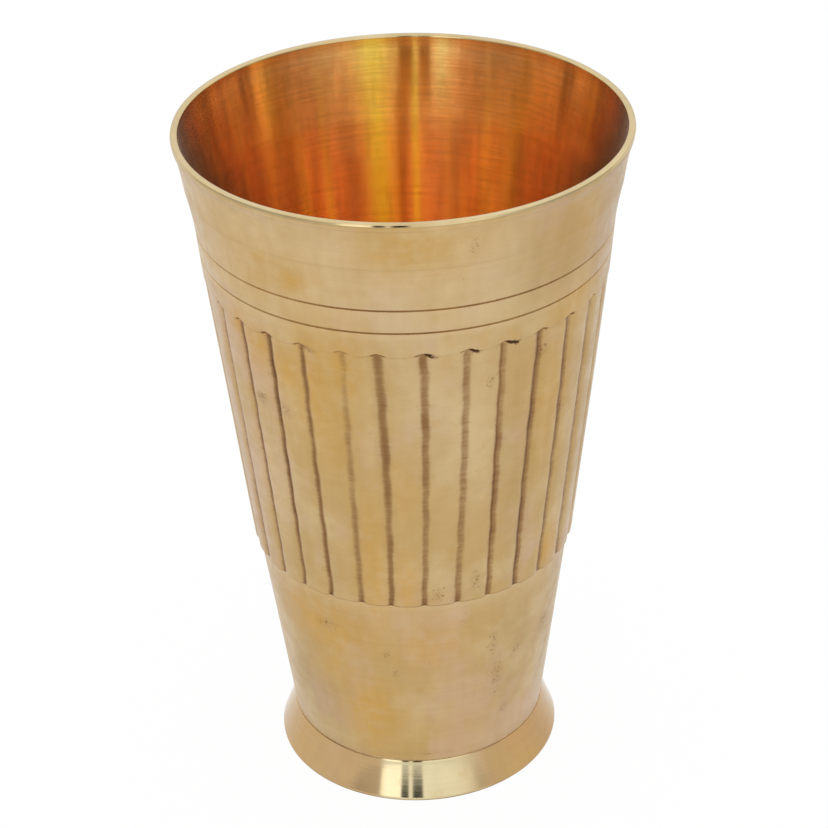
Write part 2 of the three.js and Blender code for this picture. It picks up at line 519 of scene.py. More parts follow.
        # Dark spots: grime in scuffs and specks, and painted shadow at the flutes' ends.
        dark_spot = bench.mark(Mark.DARK_SPOT)
        thick = bench.span(dark_spot, 0.55, 0.8)
        cover = self.dark_spot_cover(bench, dark_spot, thick, cloud, ragged)
        tone = bench.blend(cover, tone, bench.blend(thick, opaque(self.dirt_and_shadow), opaque(self.soot_and_shadow)))
        # Dark spots and brown, painted shadow with them, roughen the surface and sink its bump.
        dark_layer = bench.larger(bench.times(cover, 0.5), bench.times(patina_and_shadow, 0.3))

        low, high = self.roughness - self.roughness_swing, self.roughness + self.roughness_swing
        gloss = bench.plus(bench.span(fine, 0.3, 0.7, low, high), bench.times(dark_layer, 0.25), clamp=True)
        swell = bench.times(bench.noise(here, BROAD_GRAIN, 1.0), self.waviness)
        height = bench.plus(bench.times(lines, self.line_strength), swell)
        height = bench.less(height, bench.times(dark_layer, 0.6))
        bump = bench.add("Bump", {"Strength": 1.0, "Distance": BUMP_HEIGHT, "Height": height})
        inputs = {
            "Base Color": tone,
            "Metallic": self.metallic,
            "Roughness": gloss,
            "Normal": bump.outputs[0],
        }
        if self.dust > 0.0:
            inputs["Sheen Weight"] = self.dust
            inputs["Sheen Roughness"] = 0.4
        if self.anisotropy > 0.0:
            inputs["Anisotropic"] = self.anisotropy
            inputs["Anisotropic Rotation"] = 0.25
            inputs["Tangent"] = bench.add("Tangent", direction_type="UV_MAP", uv_map="Turned").outputs[0]
        shader = bench.add("BsdfPrincipled", inputs)
        bench.add("OutputMaterial", {"Surface": shader.outputs[0]})
        return material


# On the wall the colour of wear paints wear and highlights, and the shade tint painted shade.
WALL_FINISH = BrassFinish(
    name="cast_brass_wall",
    base=(0.575, 0.39, 0.168),
    pale=(0.68, 0.515, 0.28),
    blush=(0.62, 0.425, 0.26),
    warm=(0.61, 0.36, 0.10),
    highlight_and_wear=(0.70, 0.523, 0.297),
    toned=(0.298, 0.160, 0.062),
    deep=(0.125, 0.054, 0.026),
    roughness=0.34,
    roughness_swing=0.05,
    line_strength=0.10,
    mottle_size=13.0 * MM,
    mottle=0.62,
    grain=0.035,
    specks=0.6,
    waviness=0.6,
)
LIP_FINISH = BrassFinish(
    name="worn_brass_lip",
    base=(0.74, 0.59, 0.33),
    pale=(0.78, 0.65, 0.39),
    blush=(0.74, 0.58, 0.35),
    warm=(0.68, 0.51, 0.25),
    highlight_and_wear=(0.78, 0.65, 0.40),
    toned=(0.40, 0.27, 0.12),
    deep=(0.20, 0.12, 0.05),
    roughness=0.11,
    roughness_swing=0.02,
    line_strength=0.1,
    grain=0.04,
)
# Inside, the colour of wear paints golden reflections, the warm colour pale ones, the shade tint painted
# shade.
INSIDE_FINISH = BrassFinish(
    name="turned_brass_inside",
    base=(0.985, 0.62, 0.33),
    pale=(1.0, 0.70, 0.37),
    blush=(0.97, 0.57, 0.30),
    warm=(0.74, 0.57, 0.20),
    highlight_and_wear=(1.0, 0.90, 0.20),
    toned=(0.30, 0.14, 0.05),
    deep=(0.12, 0.05, 0.02),
    painted_shade=(0.70, 0.55, 0.33),
    metallic=0.96,
    dust=0.11,
    roughness=0.15,
    roughness_swing=0.02,
    line_strength=0.6,
    line_pitch=0.25 * MM,
    line_drift=0.05,
    anisotropy=0.95,
    mottle=0.08,
    grain=0.15,
    drawn=0.3,
)
FLOOR_FINISH = BrassFinish(
    name="faced_brass_floor",
    base=(0.71, 0.465, 0.195),
    pale=(0.75, 0.53, 0.25),
    blush=(0.71, 0.45, 0.21),
    warm=(0.66, 0.40, 0.13),
    highlight_and_wear=(0.78, 0.60, 0.32),
    toned=(0.32, 0.18, 0.07),
    deep=(0.14, 0.07, 0.03),
    roughness=0.24,
    roughness_swing=0.03,
    line_strength=0.4,
    line_pitch=0.4 * MM,
    anisotropy=0.8,
    mottle=0.4,
    faced=True,
)
# On the foot the colour of wear paints the front highlight, and the shade tint the shade on its right.
FOOT_FINISH = BrassFinish(
    name="turned_brass_foot",
    base=(0.53, 0.36, 0.178),
    pale=(0.57, 0.41, 0.216),
    blush=(0.55, 0.357, 0.216),
    warm=(0.57, 0.345, 0.125),
    highlight_and_wear=(0.71, 0.62, 0.39),
    toned=(0.33, 0.20, 0.085),
    deep=(0.16, 0.09, 0.04),
    painted_shade=(0.88, 0.80, 0.60),
    roughness=0.085,
    roughness_swing=0.015,
    line_strength=0.2,
    grain=0.04,
    mottle=0.6,
)
# On the brazing the colour of wear paints the highlight along the joint.
BRAZE_FINISH = BrassFinish(
    name="brazing_metal",
    base=(0.47, 0.325, 0.15),
    pale=(0.54, 0.40, 0.21),
    blush=(0.48, 0.32, 0.17),
    warm=(0.42, 0.26, 0.09),
    highlight_and_wear=(0.90, 0.76, 0.52),
    toned=(0.20, 0.12, 0.05),
    deep=(0.10, 0.06, 0.03),
    roughness=0.45,
    roughness_swing=0.08,
    line_strength=0.0,
    mottle_size=4.0 * MM,
    waviness=1.0,
)


@dataclass(frozen=True)
class Flute:
    """One hand-cut valley: how it strays from even spacing, its width and its tone, from foot to top.

    Its painted shadow, at the upper right of its top end under the scallop, has a strength and a reach.
    The core is the darker line down one side of it: how strong it is, and how far it lies right of the
    middle; the side it lies on is painted shade of the valley's shaded flank.
    """

    drift_deg: tuple[float, float, float]
    width_mm: tuple[float, float]
    tone: tuple[float, float]
    dark_spot: float = 0.3
    top_shadow_mm: float = 1.0
    core: float = 0.15
    core_mm: float = 0.0


@dataclass
class FluteSet:
    """The valleys cut down the band, evenly set out and then cut by eye."""

    count: int = 31
    phase_deg: float = 3.9
    first_seen: int = -6
    seed: int = 31
    wander_deg: float = 0.22
    wander_waves: tuple[float, float] = (5.3, 9.1)
    swell: float = 0.08
    seen: tuple[Flute, ...] = (
        Flute((0.7, 1.2, 2.0), (1.6, 1.4), (0.55, 0.5), 0.1, 1.0, 0.3, 0.2),
        Flute((0.6, 0.9, 1.3), (1.2, 1.3), (0.6, 0.6), 0.5, 1.0, 0.4, 0.2),
        Flute((-0.1, 0.4, 0.9), (1.2, 1.3), (0.65, 0.75), 0.55, 1.0, 0.45, 0.15),
        Flute((0.1, 0.1, 0.4), (1.2, 1.4), (0.7, 0.65), 0.55, 1.0, 0.4, 0.1),
        Flute((0.2, 0.5, 1.2), (1.5, 1.9), (0.74, 0.42), 0.6, 0.9, 0.1, 0.0),
        Flute((-0.9, -0.1, -1.1), (1.3, 2.3), (0.75, 0.88), 0.2, 0.8, 0.1, 0.0),
        Flute((-1.0, 0.1, -0.1), (1.3, 1.9), (0.75, 0.78), 1.0, 1.5, 0.05, -0.3),
        Flute((-1.1, 0.1, 0.3), (1.6, 1.9), (0.72, 0.76), 0.9, 2.0, 0.05, -0.3),
        Flute((-1.0, -0.8, -0.7), (1.5, 1.9), (0.75, 0.72), 0.95, 2.6, 0.45, -0.35),
        Flute((-1.6, -1.0, -0.1), (1.4, 1.7), (0.7, 0.75), 0.6, 1.0, 0.5, -0.3),
        Flute((-1.4, 0.2, -0.5), (1.4, 1.6), (0.6, 0.7), 0.7, 1.0, 0.45, -0.3),
        Flute((-0.6, 0.0, 0.2), (1.6, 1.7), (0.6, 0.65), 0.4, 1.0, 0.4, -0.3),
        Flute((0.3, 0.3, -0.4), (1.5, 1.6), (0.6, 0.6), 0.2, 1.0, 0.3, -0.2),
    )

    def __post_init__(self) -> None:
        """Cuts the valleys that face away by seeded chance, in the manner of those that are seen."""
        chance = np.random.default_rng(self.seed)
        hidden = self.count - len(self.seen)
        self.drift = np.radians(self.with_seen("drift_deg", chance.normal(0.0, 0.6, (hidden, 3))))
        self.width = MM * self.with_seen("width_mm", chance.uniform(1.2, 1.9, (hidden, 2)))
        self.tone = self.with_seen("tone", chance.uniform(0.5, 0.9, (hidden, 2)))
        self.dark_spot = self.with_seen("dark_spot", chance.uniform(0.1, 1.0, hidden))
        self.reach = MM * self.with_seen("top_shadow_mm", chance.uniform(0.7, 2.4, hidden))
        self.core = self.with_seen("core", chance.uniform(0.0, 0.5, hidden))
        self.lean = MM * self.with_seen("core_mm", chance.uniform(-0.35, 0.35, hidden))
        self.start = chance.uniform(0.0, FULL_TURN, (3, self.count))

    def with_seen(self, name: str, hidden: Array) -> Array:
        """One value of every valley: first of those that are seen, and then of the hidden ones."""
        return np.concatenate([[getattr(flute, name) for flute in self.seen], hidden])

    def unsteady(self, share: Array, which: int) -> Array:
        """How a valley strays as the cutter went up it: the mean of two sines, between -1 and 1.

        Args:
            share: Shares of the band's height, one for each row.
            which: Which of the valley's starting angles the sines begin from.

        Returns:
            One row for each share and one column for each valley.
        """
        slow, fast = (FULL_TURN * waves * share[:, None] for waves in self.wander_waves)
        start = self.start[which]
        return (np.sin(slow + start) + np.sin(fast + 2.0 * start)) / 2.0

    def centres(self, share: Array) -> Array:
        """Each valley's angle at a share of the band's height.

        It is the even spacing, plus the parabola through the valley's three drifts, plus a small wander.

        Args:
            share: Shares of the band's height, one for each row.

        Returns:
            Angles: a row for each share, a column for each valley, and the first valley again a turn on.
        """
        pitch = FULL_TURN / self.count
        even = math.radians(self.phase_deg) + pitch * (np.arange(self.count) + self.first_seen)
        low, middle, high = self.drift.T
        t = share[:, None]
        drift = low * (1 - t) * (1 - 2 * t) + middle * 4 * t * (1 - t) + high * t * (2 * t - 1)
        angles = even + drift + math.radians(self.wander_deg) * self.unsteady(share, 0)
        return np.hstack([angles, angles[:, :1] + FULL_TURN])


@dataclass(frozen=True)
class Bloom:
    """A soft patch on the wall: where its middle lies, how far it spreads and how strong it is."""

    angle_deg: float
    height: float
    spread_deg: float
    spread: float
    strength: float


def patches(*rows: tuple[float, float, float, float, float]) -> tuple[Bloom, ...]:
    """Makes soft patches.

    Args:
        *rows: For each patch, its angle in degrees, its height in mm, how far it spreads round the wall in
            degrees and how far up it in mm, and its strength.

    Returns:
        The patches.
    """
    return tuple(
        Bloom(angle, height * MM, round_it, up_it * MM, strength)
        for angle, height, round_it, up_it, strength in rows
    )


@dataclass
class CupWall:
    """The cast and turned wall: plain below, a fluted band, a grooved collar and a flared lip.

    A valley has a fade, the shares of its width over which its brown ends, a core, the dark line down one
    side of it, a halo, the faint brown beside it, an arch, a dark line round its top end, and painted
    shadow in a dot at its foot and at the upper right of its top. A scuff stains by smudge and pits by
    pitting.
    Painted shade darkens the inside towards its top, less so on the painted golden reflections. Painted
    highlights lie under the grooves, under the band's step and on the foot's joint.
    """

    shared: SharedSizes
    flutes: FluteSet = field(default_factory=FluteSet)
    plain_height: float = 40.7 * MM
    band_height: float = 56.7 * MM
    lower_groove_rise: float = 5.1 * MM
    groove_spacing: float = 4.6 * MM
    upper_groove_to_lip: float = 1.2 * MM
    lip_flare: float = 3.2 * MM
    collar_taper: float = 1.0 * MM
    band_taper: float = 6.35 * MM
    band_step: float = 0.85 * MM
    collar_wall: float = 1.7 * MM
    plain_wall: float = 2.1 * MM
    lip_wall: float = 1.4 * MM
    lip_round: float = 0.5 * MM
    facet_width: float = 0.13 * MM
    facet_height: float = 0.36 * MM
    bead_height: float = 1.1 * MM
    bead_rise: float = 0.12 * MM
    groove_width: float = 0.42 * MM
    groove_depth: float = 0.24 * MM
    panel_sink: float = 0.12 * MM
    panel_crown: float = 0.12 * MM
    valley_depth: float = 0.55 * MM
    scallop_rise: float = 0.75 * MM
    crease_rise: float = 7.4 * MM
    crease_flare: float = 1.4 * MM
    disc_clearance: float = 0.1 * MM
    # Painted shade inside, from its base up over its reach, giving way on the painted golden reflections.
    shade_base: float = 99.0 * MM
    shade_reach: float = 28.0 * MM
    shade: float = 0.75
    shine_through: float = 0.5
    columns_in_valley: int = 14
    columns_on_panel: int = 7
    valley_zone: float = 2.8 * MM
    scallop_width: float = 2.6 * MM
    unevenness: float = 0.02 * MM
    fade: tuple[float, float] = (0.15, 0.8)
    core_width: float = 0.5 * MM
    # The dot at a valley's foot and the mark at its top right are painted shadow; the arch is a dark line.
    dot_width: float = 1.0 * MM
    dot_height: float = 0.9 * MM
    dot_shade: float = 0.5
    dot_shadow: float = 0.62
    arch_width: float = 0.55 * MM
    arch_darkening: float = 1.7
    top_shadow_height: float = 1.15 * MM
    top_shadow_limit: float = 1.5 * MM
    top_shadow_strength: float = 1.05
    halo: float = 0.42
    smudge: float = 0.85
    pitting: float = 0.96
    # Painted highlights under the grooves, on the joint and under the band's step; painted shade in the
    # crease.
    groove_highlight: float = 0.95
    joint_highlight: float = 0.95
    cove_highlight: float = 0.7
    crease_shade: float = 0.4
    # Golden patches on the outside: those in front, and from 110 degrees on those at the back.
    blooms: tuple[Bloom, ...] = patches(
        (1, 128, 14, 6, 0.7), (-36, 120, 18, 6, 0.5), (-31, 119, 5, 2.6, 0.9), (-39, 122, 5, 2, 0.75),
        (-27.4, 97, 7, 12, 0.9), (-18, 102, 5, 9, 0.9), (-24, 90, 8, 12, 0.7), (-46, 102, 5, 4, 1),
        (-36, 99, 5, 5, 0.9), (-54, 105, 4, 3, 0.8), (-3.5, 76, 7, 8, 0.5), (-3.5, 54, 5, 7, 0.8),
        (-14, 57, 6, 16, 0.8), (44, 90, 7, 12, 0.6), (53.5, 54, 4, 3, 0.9), (51.6, 108, 9, 4, 0.8),
        (50, 124, 12, 8, 0.5), (-37, 40, 20, 7, 0.95), (-34, 31, 12, 8, 0.7), (-20, 20, 12, 8, 1),
        (4, 38, 14, 6, 0.7), (-10, 15, 24, 6, 0.4), (110, 84, 6, 16, 0.6), (140, 60, 10, 14, 0.7),
        (150, 118, 12, 6, 0.5), (175, 28, 16, 10, 0.8), (200, 99, 8, 12, 0.8), (226, 122, 12, 8, 0.5),
        (236, 72, 6, 14, 0.7), (264, 26, 14, 12, 0.8),
    )
    # Paler patches on the outside: painted highlights in front and on the lip, and wear at the back.
    highlight_and_wear_areas: tuple[Bloom, ...] = patches(
        (0, 120, 46, 10, 0.65), (-20, 124, 13, 8, 0.9), (20, 124, 13, 8, 0.8), (4, 112, 18, 4, 0.6),
        (17, 91, 7, 14, 0.7), (5, 95, 6, 14, 0.6), (-49, 68, 6, 10, 0.5), (120, 115, 30, 20, 0.6),
        (215, 60, 30, 30, 0.5),
    )
    # Painted shade on the outside: darker areas at the sides, low down and on the lip's right.
    painted_shade_areas: tuple[Bloom, ...] = patches(
        (48, 122, 15, 12, 1), (66, 30, 12, 34, 0.55), (80, 95, 26, 60, 0.6), (36, 75, 7, 25, 0.4),
        (-80, 60, 18, 45, 0.35), (-47, 26, 20, 24, 0.78), (46, 26, 20, 24, 0.45),
        (165, 70, 22, 40, 0.45), (0, 14, 300, 26, 0.22), (62, 125, 14, 20, 1), (250, 100, 20, 20, 0.4),
    )
    # Painted streaks inside, drawn out down the wall: golden and pale reflections, and shade with dark
    # reflections. An angle near 180 degrees is the side that is seen.
    painted_golden_streaks: tuple[Bloom, ...] = patches(
        (187.7, 132, 5.4, 14, 1), (187.4, 108, 3.6, 16, 1), (187.2, 80, 3.3, 30, 1),
        (176.3, 112, 1.1, 24, 0.8), (213.5, 90, 1.6, 18, 0.95), (205.1, 84, 1.1, 18, 0.9),
        (222, 124, 2.2, 8, 0.4), (151.2, 92, 2, 20, 0.65), (160.6, 84, 2.4, 15, 0.65),
        (149, 106, 7, 16, 0.35), (22.5, 85, 10, 55, 0.9), (-10.8, 85, 3, 50, 0.7),
        (-38, 90, 4, 40, 0.4), (66, 100, 3, 40, 0.4), (-70, 90, 3, 40, 0.4), (104, 100, 9, 60, 0.35),
        (-101, 100, 9, 60, 0.3),
    )
    # Painted pale reflections.
    painted_pale_streaks: tuple[Bloom, ...] = patches(
        (168.5, 129, 2.1, 8, 0.95), (200, 128, 7, 9, 0.3), (-25, 126, 6, 9, 0.3), (60, 127, 4, 8, 0.3),
    )
    # Painted shade, heaviest at the sides, and painted dark reflections.
    painted_dark_streaks: tuple[Bloom, ...] = patches(
        (179.6, 128, 1.6, 9, 0.5), (180.8, 106, 1.4, 12, 0.7), (209.6, 86, 1.7, 18, 0.85),
        (156.2, 84, 1.5, 14, 0.75), (178, 132, 16, 9, 0.35), (104, 100, 9, 60, 0.75),
        (-101, 100, 9, 60, 0.85), (131, 98, 10, 26, 0.38), (234, 94, 9, 26, 0.35),
        (219, 106, 7, 14, 0.2), (1.5, 85, 4, 50, 0.6), (-60, 100, 6, 40, 0.2), (48, 100, 6, 40, 0.2),
    )
    # Dirty scuffs on the outside.
    scuffs: tuple[Bloom, ...] = patches(
        (-48, 90.5, 2.5, 1.8, 0.56), (-38, 90, 3, 1.4, 0.52), (-28, 105, 2.6, 0.9, 0.55),
        (-12, 88.5, 1.2, 1, 0.52), (39, 101, 4, 1.8, 0.5), (23, 98, 2, 2.2, 0.5),
        (51, 86, 1.6, 1.2, 0.62), (26, 83.5, 1.4, 1.2, 0.52), (8, 51.5, 3, 1.8, 0.5),
        (21, 53.5, 2.5, 3.4, 0.52), (-36, 40.5, 6, 1.8, 0.5), (-27, 37.5, 3, 1.2, 0.45),
        (-12, 35.5, 2, 1.2, 0.5), (-9, 31, 2, 2.2, 0.48), (30, 36, 3, 5, 0.43), (34, 26, 3.5, 6, 0.43),
        (18, 44, 3, 1.2, 0.46), (39, 17, 3, 1.6, 0.46), (43, 31, 4, 3, 0.44), (60, 33, 5, 4, 0.45),
        (66, 22, 4, 3, 0.45), (16, 113, 1.6, 1.6, 0.48), (16.5, 127, 2, 2.2, 0.44),
        (14, 121, 2, 0.8, 0.42), (25, 88, 1.5, 1.8, 0.45), (-2, 9.5, 16, 0.8, 0.4),
        (150, 30, 6, 3, 0.45), (205, 70, 4, 4, 0.45), (255, 44, 5, 3, 0.45), (118, 124, 4, 2, 0.42),
        (190, 20, 7, 2, 0.42),
    )

    def __post_init__(self) -> None:
        """Works out the heights and radii that follow from the sizes."""
        shared = self.shared
        self.band_base = shared.wall_base + self.plain_height
        self.band_top = self.band_base + self.band_height
        self.lower_groove = self.band_top + self.lower_groove_rise
        self.upper_groove = self.lower_groove + self.groove_spacing
        self.lip_base = self.upper_groove + self.upper_groove_to_lip
        self.flare_top = shared.rim_top - self.lip_round
        self.collar_top_radius = shared.rim_radius - self.lip_flare
        self.collar_base_radius = self.collar_top_radius - self.collar_taper
        self.band_base_radius = self.collar_base_radius - self.band_taper
        self.plain_top_radius = self.band_base_radius - self.band_step

    def collar_radius(self, height: Array) -> Array:
        """The collar's straight taper."""
        share = (height - self.band_top) / (self.lip_base - self.band_top)
        return self.collar_base_radius + self.collar_taper * share

    def flare(self, height: Array, inside: bool = False) -> Array:
        """The lip's outline: gentle up to a faint turned crease, faster from there, with a low bead on top.

        Args:
            height: Heights between the lip's base and its edge.
            inside: Whether the inner side is meant, which has no crease.

        Returns:
            The radius at each height.
        """
        if inside:
            share = (height - self.lip_base) / (self.flare_top - self.lip_base)
            low = self.collar_top_radius - self.collar_wall
            return part_way(low, self.shared.rim_radius - self.lip_wall, share)
        crease = self.lip_base + self.crease_rise
        below = np.clip((height - self.lip_base) / self.crease_rise, 0.0, 1.0)
        above = np.clip((height - crease) / (self.flare_top - crease), 0.0, 1.0)
        rest = self.lip_flare - self.crease_flare
        rise = self.crease_flare * (0.75 * below + 0.25 * below**2)
        rise = rise + rest * (0.68 * above + 0.32 * above**3)
        up = np.clip((height - self.flare_top) / self.bead_height + 1.0, 0.0, 1.0)
        bead = self.bead_rise * smooth_step(0.0, 0.15, up) * (1.0 - up**2)
        return self.collar_top_radius + rise + bead

    def groove_rows(self, centre: float) -> list[tuple[float, float, float]]:
        """Rows across one turned groove: height, radius and how much dirt it holds."""
        offsets = np.array([-0.75, -0.5, -0.22, 0.0, 0.22, 0.5, 0.75])
        depths = np.array([0.0, 0.12, 0.9, 1.0, 0.9, 0.12, 0.0])
        height = centre + offsets * self.groove_width
        radius = self.collar_radius(height) - depths * self.groove_depth
        return list(zip(height, radius, depths))

    def rows(self) -> tuple[Array, Array]:
        """The whole profile, from the base up the outside, over the lip and down the inside.

        Returns:
            Rows of height, radius, share of the flutes' cut, share of the scallop and dirt, and the
            material slot of each row's faces: 0 outside, 1 on the lip's edge, 2 inside.
        """
        shared, step, brink = self.shared, self.band_base, self.band_top
        base, top, band = shared.wall_base_radius, self.plain_top_radius, self.band_base_radius
        rows: list[tuple[float, float, float, float, float]] = []

        def plain(heights: Array, radii: Array) -> None:
            """Adds rows without cut, scallop or dirt."""
            rows.extend((height, radius, 0, 0, 0.0) for height, radius in zip(heights, radii))

        rows += [
            (shared.wall_base, base - 0.03 * MM, 0, 0, 0.35),
            (shared.wall_base + 0.04 * MM, base - 0.01 * MM, 0, 0, 0.2),
        ]
        share = np.concatenate([[0.004], np.linspace(0.04, 0.985, 17)])
        plain(shared.wall_base + share * self.plain_height, part_way(base, top, share))
        # Darker under and along the band's step.
        rows += [
            (step - 0.22 * MM, top - 0.02 * MM, 0, 0, 0.0),
            (step - 0.06 * MM, top + 0.03 * MM, 0, 0, 0.3),
            (step - 0.01 * MM, top + 0.10 * MM, 0, 0, 0.9),
            (step, band - 0.12 * MM, 1, 0, 0.9),
            (step + 0.04 * MM, band - 0.03 * MM, 1, 0, 0.8),
            (step + 0.16 * MM, band, 1, 0, 0.5),
            (step + 0.34 * MM, band + 0.02 * MM, 1, 0, 0.0),
        ]
        drops = np.array([2.4, 1.7, 1.1, 0.75, 0.5, 0.32, 0.18, 0.07]) * MM
        for share in np.concatenate([np.linspace(0.012, 0.94, 34), 1.0 - drops / self.band_height]):
            rows.append((step + share * self.band_height, band + share * self.band_taper, 1, share, 0.0))
        rows.append((brink, self.collar_base_radius, 1, 1, 0.0))
        for rise, cut, scallop in (
            (0.05, 0.4, 1.0), (0.14, 0.0, 1.0), (0.4, 0.0, 0.95),
            (1.0, 0.0, 0.75), (1.8, 0.0, 0.45), (3.2, 0.0, 0.0),
        ):
            height = brink + rise * MM
            rows.append((height, self.collar_radius(height), cut, scallop, 0.0))
        for centre in (self.lower_groove, self.upper_groove):
            for height, radius, dirt_and_shadow in self.groove_rows(centre):
                rows.append((height, radius, 0, 0, 0.75 * dirt_and_shadow))
        crease = self.lip_base + self.crease_rise
        bead = self.flare_top - self.bead_height
        heights = np.concatenate([
            np.linspace(self.lip_base, crease - 0.25 * MM, 6),
            [crease, crease + 0.25 * MM],
            np.linspace(crease + 1.2 * MM, bead, 6),
            bead + self.bead_height * np.array([0.06, 0.15, 0.4, 0.7, 1.0]),
        ])
        plain(heights, self.flare(heights))

        outside = len(rows)
        turn = np.linspace(0.0, math.pi, 13)[6:-1]
        half = self.lip_wall / 2
        facet = np.linspace(0.2, 1.0, 5)
        shoulder = np.array([0.68, 0.42]) * half
        across = half * np.sign(np.cos(turn)) * np.abs(np.cos(turn)) ** 0.7
        across = np.concatenate([half - self.facet_width * facet, shoulder, across])
        over = self.lip_round * np.concatenate([[0.89, 0.96], np.sin(turn) ** 0.6])
        over = np.concatenate([self.facet_height * facet, over])
        plain(self.flare_top + over, shared.rim_radius - half + across)

        lip = len(rows)
        heights = np.linspace(self.flare_top, self.lip_base, 9)
        plain(heights, self.flare(heights, inside=True))
        collar_inside = self.collar_top_radius - self.collar_wall
        step_inside = top - self.plain_wall
        share = np.linspace(0.15, 1.0, 6)
        plain(part_way(self.lip_base, step, share), part_way(collar_inside, step_inside, share))
        # Darker towards the bottom corner inside.
        for share in np.linspace(0.2, 1.0, 5):
            height = part_way(step, shared.floor_top, share)
            radius = part_way(step_inside, shared.floor_radius, share)
            rows.append((height, radius, 0, 0, share**4 * 0.6))
        rebate = shared.disc_radius + self.disc_clearance
        rows += [(shared.floor_top, rebate, 0, 0, 0.8), (shared.wall_base, rebate, 0, 0, 0.8)]
        slots = np.zeros(len(rows), dtype=int)
        slots[outside - 1 : lip] = 1
        slots[lip:] = 2
        return np.array(rows, dtype=float), slots

    def columns(self) -> Array:
        """Shares of a flute's pitch for its columns: close together in the valley, wider on the panel.

        Returns:
            The shares, from 0 at one valley to just short of 1 at the next.
        """
        middle = (self.band_base_radius + self.collar_base_radius) / 2
        zone = self.valley_zone / (FULL_TURN * middle / self.flutes.count) / 2
        half = self.columns_in_valley // 2
        near = zone * (np.arange(half + 1) / half)
        steps = self.columns_on_panel + 1
        panel = zone + (1 - 2 * zone) * np.arange(1, steps) / steps
        return np.concatenate([near, panel, 1.0 - near[:0:-1]])

    def spread(self, blooms: tuple[Bloom, ...], angle: Array, height: Array, where: Array) -> Array:
        """Lays soft patches on the wall: a bell round it times a bell up it, of which the strongest counts.

        Args:
            blooms: The patches.
            angle: Each point's angle.
            height: Each row's height.
            where: Which points may take a patch.

        Returns:
            Each point's strength, 0 outside the patches.
        """
        total = np.zeros_like(angle)
        for bloom in blooms:
            across = bell(angle_from(bloom.angle_deg, angle), 2 * math.radians(bloom.spread_deg))
            up = bell(height - bloom.height, 2 * bloom.spread)
            total = np.maximum(total, bloom.strength * (across * up))
        return np.where(where, total, 0.0)

    def build(self) -> bpy.types.Object:
        """Works the wall out as one grid, paints its marks and makes its mesh.

        A point's radius is its row's less the cut: the panel's sink and crown, and the valley's bell times
        its depth. Near the band's top its height gains the scallop, which is highest at the valleys.

        Returns:
            The wall's object.
        """
        rows, slots = self.rows()
        height, radius, cut_share, scallop_share, dirt_and_shadow = rows.T[:, :, None]
        band_share = np.clip((rows[:, 0] - self.band_base) / self.band_height, 0.0, 1.0)
        inside = np.arange(len(rows)) > int(np.argmax(slots == 1))
        band_share = np.where(inside, 1.0, band_share)
        centres = self.flutes.centres(band_share)
        shares = self.columns()
        angle = centres[:, :-1, None] + shares * np.diff(centres, axis=1)[:, :, None]
        angle = angle.reshape(len(rows), -1)

        def to_columns(values: Array) -> Array:
            """Shares out a value for each row and valley to the columns nearest to that valley."""
            left = np.repeat(values, len(shares), axis=1)
            right = np.repeat(np.roll(values, -1, axis=1), len(shares), axis=1)
            return np.where(np.tile(shares, self.flutes.count) < 0.5, left, right)

        def of_valley(values: Array) -> Array:
            """Runs each valley's value from foot to top, and shares it out to the nearest columns."""
            return to_columns(part_way(values[:, 0], values[:, 1], band_share[:, None]))

        def steady(values: Array) -> Array:
            """Shares out a value that each valley keeps from foot to top."""
            return of_valley(np.stack([values, values], axis=1))

        share = np.tile(shares, self.flutes.count)
        pitch = radius * FULL_TURN / self.flutes.count
        offset = np.minimum(share, 1.0 - share) * pitch
        width, tone = of_valley(self.flutes.width), of_valley(self.flutes.tone)
        width = width * (1.0 + self.flutes.swell * to_columns(self.flutes.unsteady(band_share, 1)))
        tone = tone * (1.0 + self.flutes.swell * to_columns(self.flutes.unsteady(band_share, 2)))
        valley = bell(offset, width)
        crown = (1.0 - 4.0 * share * (1.0 - share)) ** 2
        depth = self.valley_depth * (0.55 + 0.45 * tone)
        cut = self.panel_sink + self.panel_crown * crown * (1 - valley) + depth * valley
        arch = 0.6 * bell(offset, self.scallop_width) + 0.4 * (1.0 - np.sin(math.pi * share))
        long_waves = np.sin(3 * angle + height / (9 * MM))
        short_waves = np.sin(5 * angle - height / (14 * MM))
        outside = (~inside[:, None]) & (slots[:, None] == 0)
        uneven = np.where(outside, self.unevenness * (long_waves + short_waves), 0.0)
        out = np.minimum(radius - cut_share * cut + uneven, self.shared.rim_radius)
        up = height + scallop_share * self.scallop_rise * arch
        points = np.stack([out * np.sin(angle), -out * np.cos(angle), up], axis=-1)

        skew = np.where(share < 0.5, share, share - 1.0) * pitch
        in_band = (cut_share > 0.3) & outside
        drop = self.band_top - height
        # The side of the valley that the core lies on is painted shade of its shaded flank.
        core = steady(self.flutes.core) * bell(skew - steady(self.flutes.lean), self.core_width)
        stain_and_shadow = tone * (1.0 - smooth_step(*self.fade, offset / width)) + core
        stain_and_shadow = np.maximum(stain_and_shadow, self.halo * tone * bell(offset, 2.4 * width))
        # A dark line round each valley's top end, and painted shadow in a dot at its foot.
        arch_fade = 1.0 - smooth_step(0.9 * MM, 1.7 * MM, offset)
        arch_line = bell(drop - 0.1 * MM, self.arch_width) * (0.25 + 0.75 * arch_fade)
        foot_dot = bell(drop - self.band_height, self.dot_height) * bell(skew, self.dot_width)
        stain_and_shadow = np.maximum(stain_and_shadow + self.dot_shade * foot_dot, self.arch_darkening * arch_line * tone)
        patina_and_shadow = np.where(in_band, stain_and_shadow, 0.0)
